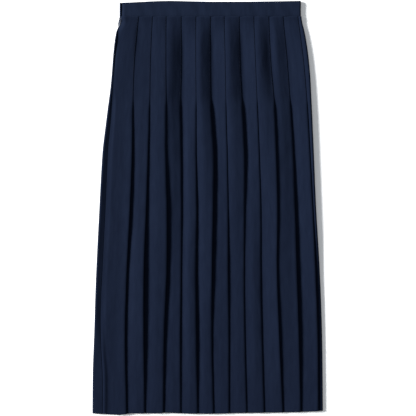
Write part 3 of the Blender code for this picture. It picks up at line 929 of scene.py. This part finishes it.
def band_profile(top):
    """The profile's y at each step of the path, and how far out its points are, from 1 outside to -1 inside.

    It goes up the outer face and down the inner one. top is the band's upper edge at each step. The pressed
    line is a bell curve.
    """
    corner, steps = np.radians(BAND_CORNER), np.array(BAND_STEPS)
    rounded = BAND_EDGE * (1 - np.cos(corner))
    pressed = 1 - PRESSED_DEPTH * bell((steps - PRESSED_AT) / PRESSED_WIDTH)
    offset = np.concatenate([rounded, BAND_EDGE * (1 - 2 * steps), -rounded[::-1]])
    share = np.concatenate([0 * corner, steps, 0 * corner + 1])
    swell = np.concatenate([np.sin(corner), pressed, np.sin(corner)[::-1]])
    y = SEAM_Y + offset + share * (top[:, None] - SEAM_Y)
    return np.hstack([y, y[:, -2:0:-1]]), np.concatenate([swell, -swell[-2:0:-1]])


def band_half(name, is_front):
    """Half of the waistband and its grid of points: a profile at each step, thinner at the last few.

    Slow sines ripple the front's outer face, two of them aslant along the band and one across it.
    """
    path = band_path(is_front)
    heading = unit(np.gradient(path, axis=0))
    outward = np.column_stack([-heading[:, 1], heading[:, 0]])
    y, swell = band_profile(level(path[:, 0], TOP_LINE))
    step = np.arange(len(path))
    thinned = np.minimum(1, 0.25 + np.minimum(step, step[::-1]) / 3.0)[:, None]
    out = swell * BAND_WALL / 2 * thinned
    if is_front:
        aslant = path[:, :1] + 0.5 * (y - SEAM_Y)
        ripple = 0.22 * np.sin(aslant / 6.1) + 0.12 * np.sin(aslant / 3.7 + 1.0)
        out = out + np.where(out > 0.5, ripple + 0.16 * np.sin(y / 3.1 + 2.0), 0)
    x, z = (path[:, i, None] + outward[:, i, None] * out for i in (0, 1))
    grid = np.stack([x, y, z], 2)
    rings, sides = grid.shape[:2]
    faces = quads(rings, sides, close_columns=True)[:, [0, 3, 2, 1]].tolist()
    cap = np.arange(sides)
    faces += [cap[::-1].tolist(), (cap + (rings - 1) * sides).tolist()]
    uv = measured(distances(path)[:, None], distances(grid[rings // 2])[None, :])
    return new_piece(name, grid, faces, band_cloth, "skirt", uv), grid


band_front, band_front_grid = band_half("band_front", True)
band_back, _ = band_half("band_back", False)
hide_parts("waistband_front")
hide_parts("waistband_back")
print("band", band_front_grid.shape, "top", band_front_grid[..., 2].max().round(2), "mm")

# %% [markdown]
# ## Tubes
#
# A stitch and the zip's wire are both tubes: rings of points that follow a line, with a cap at each end.


# %% Tubes
def tube_faces(rings, sides, tubes=1):
    """Faces of closed tubes whose points follow each other: between their rings, then all their caps."""
    first = np.arange(tubes)[:, None] * rings * sides
    walls = (first[:, None] + quads(rings, sides, close_columns=True)).reshape(-1, 4)
    cap = np.arange(sides)
    return walls.tolist() + np.concatenate([first + cap, first + rings * sides - 1 - cap]).tolist()


def circles(side, up, sides):
    """Points round a circle of radius 1 on each pair of axes."""
    angles = np.radians(np.arange(sides) * 360.0 / sides)[:, None]
    return side[:, None] * np.cos(angles) + up[:, None] * np.sin(angles)


print("a tube of 6 rings with 6 sides has", len(tube_faces(6, 6)), "faces")

# %% [markdown]
# ## Stitching
#
# The hem is turned up and sewn 5 mm above its edge, the pleats are edge-stitched down to the release, and
# the waistband is stitched in its pressed line. One stitch is a short bead of thread that dips into the
# cloth at both ends. Hundreds of them are made at once: each is the same few rings of points, placed
# between two points of a line on the cloth.

# %% Stitching
STITCH, STITCH_GAP, THREAD_RADIUS, THREAD_SIDES = 2.4, 0.7, 0.22, 6
STITCH_RINGS = (0.0, 0.12, 0.35, 0.65, 0.88, 1.0)  # shares of a stitch
STITCH_ARCH, STITCH_SINK = 0.12, 0.14
HEM_TURNED_UP, FIRST_STITCHED = 5, 1.5


def stitch_ends(points):
    """Where each stitch on a line of points starts, and where it ends."""
    away = distances(points)
    starts = np.arange(STITCH_GAP, away[-1] - STITCH, STITCH + STITCH_GAP)
    ends = (starts, starts + STITCH)
    return [np.column_stack([np.interp(at, away, axis) for axis in points.T]) for at in ends]


def stitches(name, lines, lift):
    """Beads of thread along lines of points on the cloth, raised off it by lift.

    With t from 0 to 1 along a bead, its radius goes by the root of 1 - (2 t - 1)^4, and it arches as a sine.
    """
    a, b = (np.vstack(ends) for ends in zip(*map(stitch_ends, lines)))
    heading = unit(b - a)
    side = unit(np.cross(heading, (0, 0, 1)))
    up = np.cross(side, heading)
    t = np.array(STITCH_RINGS)[:, None]
    radius = THREAD_RADIUS * np.sqrt(np.maximum(1 - (2 * t - 1) ** 4, 0.06))
    rise = lift + STITCH_ARCH * np.sin(math.pi * t) - STITCH_SINK
    middle = a[:, None] + (b - a)[:, None] * t + up[:, None] * rise
    points = middle[:, :, None] + circles(side, up, THREAD_SIDES)[:, None] * radius[:, None]
    faces = tube_faces(len(t), THREAD_SIDES, len(points))
    print(name, len(points), "stitches")
    return new_piece(name, points, faces, thread_finish.material, "skirt")


hem_row = int(np.argmin(abs(drops - (HEM_DROP - HEM_TURNED_UP))))
stitched_rows = (drops > FIRST_STITCHED) & (drops < RELEASE)
hem_lines = [front_grid[hem_row, start:end] for start, end in front_faces]
edge_lines = [front_grid[stitched_rows, end - 2] for _, end in front_faces]
band_line = band_front_grid[2:LEVEL_STEPS, len(BAND_CORNER) + BAND_STEPS.index(PRESSED_AT)]
hem_stitches = stitches("hem_stitches", hem_lines, SHELL / 2)
edge_stitches = stitches("pleat_stitches", edge_lines, SHELL / 2)
band_stitches = stitches("band_stitches", [band_line], 0.05)

# %% [markdown]
# ## The zip's coil
#
# An invisible zip closes the left side. Its coil is a flat nylon spiral on the inside of the seam, and it
# turns with the cloth there.

# %% Zip coil
COIL_START, COIL_END, COIL_PITCH = 33.0, 171.0, 1.3
COIL_DEPTH, COIL_HALF_WIDTH, COIL_HALF_HEIGHT = 1.75, 0.75, 0.22
COIL_WIRE, COIL_SIDES, POINTS_A_TURN = 0.2, 6, 10
TUBE_AXIS = (0.0, 0.31, 0.95)  # a direction that the wire never takes


def coil_path():
    """The wire's middle: a cosine along the cloth and a lower sine through it, some way under the seam."""
    turns = int((COIL_END - COIL_START) / COIL_PITCH)
    phase = np.linspace(0, 2 * math.pi * turns, turns * POINTS_A_TURN + 1)
    drop = np.linspace(COIL_START, COIL_END, len(phase))
    angle, x, z = (np.interp(drop, drops, values) for values in (np.radians(turn), seam_x, seam_z))
    along = COIL_HALF_WIDTH * np.cos(phase)
    under = COIL_DEPTH + COIL_HALF_HEIGHT * np.sin(phase)
    x = x - np.cos(angle) * along + np.sin(angle) * under
    z = z + np.sin(angle) * along + np.cos(angle) * under
    return np.column_stack([x, SEAM_Y - drop, z])


def tube(name, path, radius, sides, finish):
    """A round wire along a path of points: a circle on two axes across the path's heading."""
    heading = unit(np.gradient(path, axis=0))
    side = unit(np.cross(heading, TUBE_AXIS))
    points = path[:, None] + circles(side, np.cross(side, heading), sides) * radius
    return new_piece(name, points, tube_faces(len(path), sides), finish, "skirt")


wire = coil_path()
coil = tube("zip_coil_wire", wire, COIL_WIRE, COIL_SIDES, nylon.material)
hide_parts("zip_coil")
print("the coil's wire is", (distances(wire)[-1] * MM).round(2), "m long")

# %% [markdown]
# ## The pull tab and the slider
#
# Only the pull tab shows, beside the left edge under the waistband. It is a small leaf of lacquered metal,
# hollowed along its length, with an eye that swings on the slider's pin. The slider keeps its solid shape
# and gets the lacquer.

# %% Pull tab
PIVOT = np.array([-184.6, 397.9, 4.6])
TAB_LENGTH, TAB_WIDTH, TAB_NECK, TAB_WALL = 17.8, 4.4, 1.6, 0.8
TAB_LEAN = -8.0  # degrees
TAB_HOLLOW = 0.45
EYE_MIDDLE, EYE_WIRE, EYE_HEIGHT = 1.4, 0.38, 0.55


def tab_leaf():
    """A grid of points: its half-width swells and narrows as a sine, and a parabola hollows it.

    Square roots round its tip and its neck.
    """
    share, across = np.meshgrid(np.linspace(0, 1, 41), np.linspace(-1, 1, 17), indexing="ij")
    half = TAB_NECK / 2 + (TAB_WIDTH - TAB_NECK) / 2 * np.sin(math.pi * share)
    half = half * np.sqrt(np.clip((1 - share) / 0.06, 0.02, 1)) * np.sqrt(np.clip(share / 0.04, 0.3, 1))
    y = -(EYE_MIDDLE + (TAB_LENGTH - EYE_MIDDLE) * share)
    z = TAB_HOLLOW * (half / (TAB_WIDTH / 2)) * (across**2 - 0.6)
    cosine, sine = math.cos(math.radians(TAB_LEAN)), math.sin(math.radians(TAB_LEAN))
    leaning = np.array([[cosine, -sine, 0], [sine, cosine, 0], [0, 0, 1]])
    return np.stack([half * across, y, z], 2)[::-1] @ leaning.T + PIVOT


def tab_eye():
    """A grid of points: an ellipse, carried in a circle round the pin."""
    around, over = np.radians(np.arange(0, 360, 7.5))[:, None], np.radians(np.arange(0, 360, 30))
    ring = EYE_MIDDLE + EYE_WIRE * np.cos(over)
    x, y = ring * np.cos(around), ring * np.sin(around)
    return np.stack([x, y, 0 * x + EYE_HEIGHT * np.sin(over)], 2) + PIVOT


leaf = sheet_piece("pull_tab_leaf", tab_leaf(), lacquer.material, TAB_WALL, "pull_tab")
eye_faces = quads(*tab_eye().shape[:2], close_rows=True, close_columns=True).tolist()
eye = new_piece("pull_tab_eye", tab_eye(), eye_faces, lacquer.material, "pull_tab")
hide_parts("zip_pull_tab")
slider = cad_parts["zip_slider"]
for slot in slider.material_slots:
    slot.material = lacquer.material
print("slider keeps", len(slider.data.polygons), "faces, and the eye has", len(eye_faces))

# %% [markdown]
# ## How wide the panels' cloth was cut
#
# The width of cloth in each of the two panels, pleats opened out, is the mean length of its rows, and both
# are printed.


def width_of_cloth(grid):
    """How much cloth a panel takes from side to side, in metres: the mean length of its rows."""
    return np.linalg.norm(np.diff(grid, axis=1), axis=2).sum(axis=1).mean() * MM


widths = [width_of_cloth(grid).round(3) for grid in (front_grid, back_grid)]
print("cloth across, front and back", widths, "m")
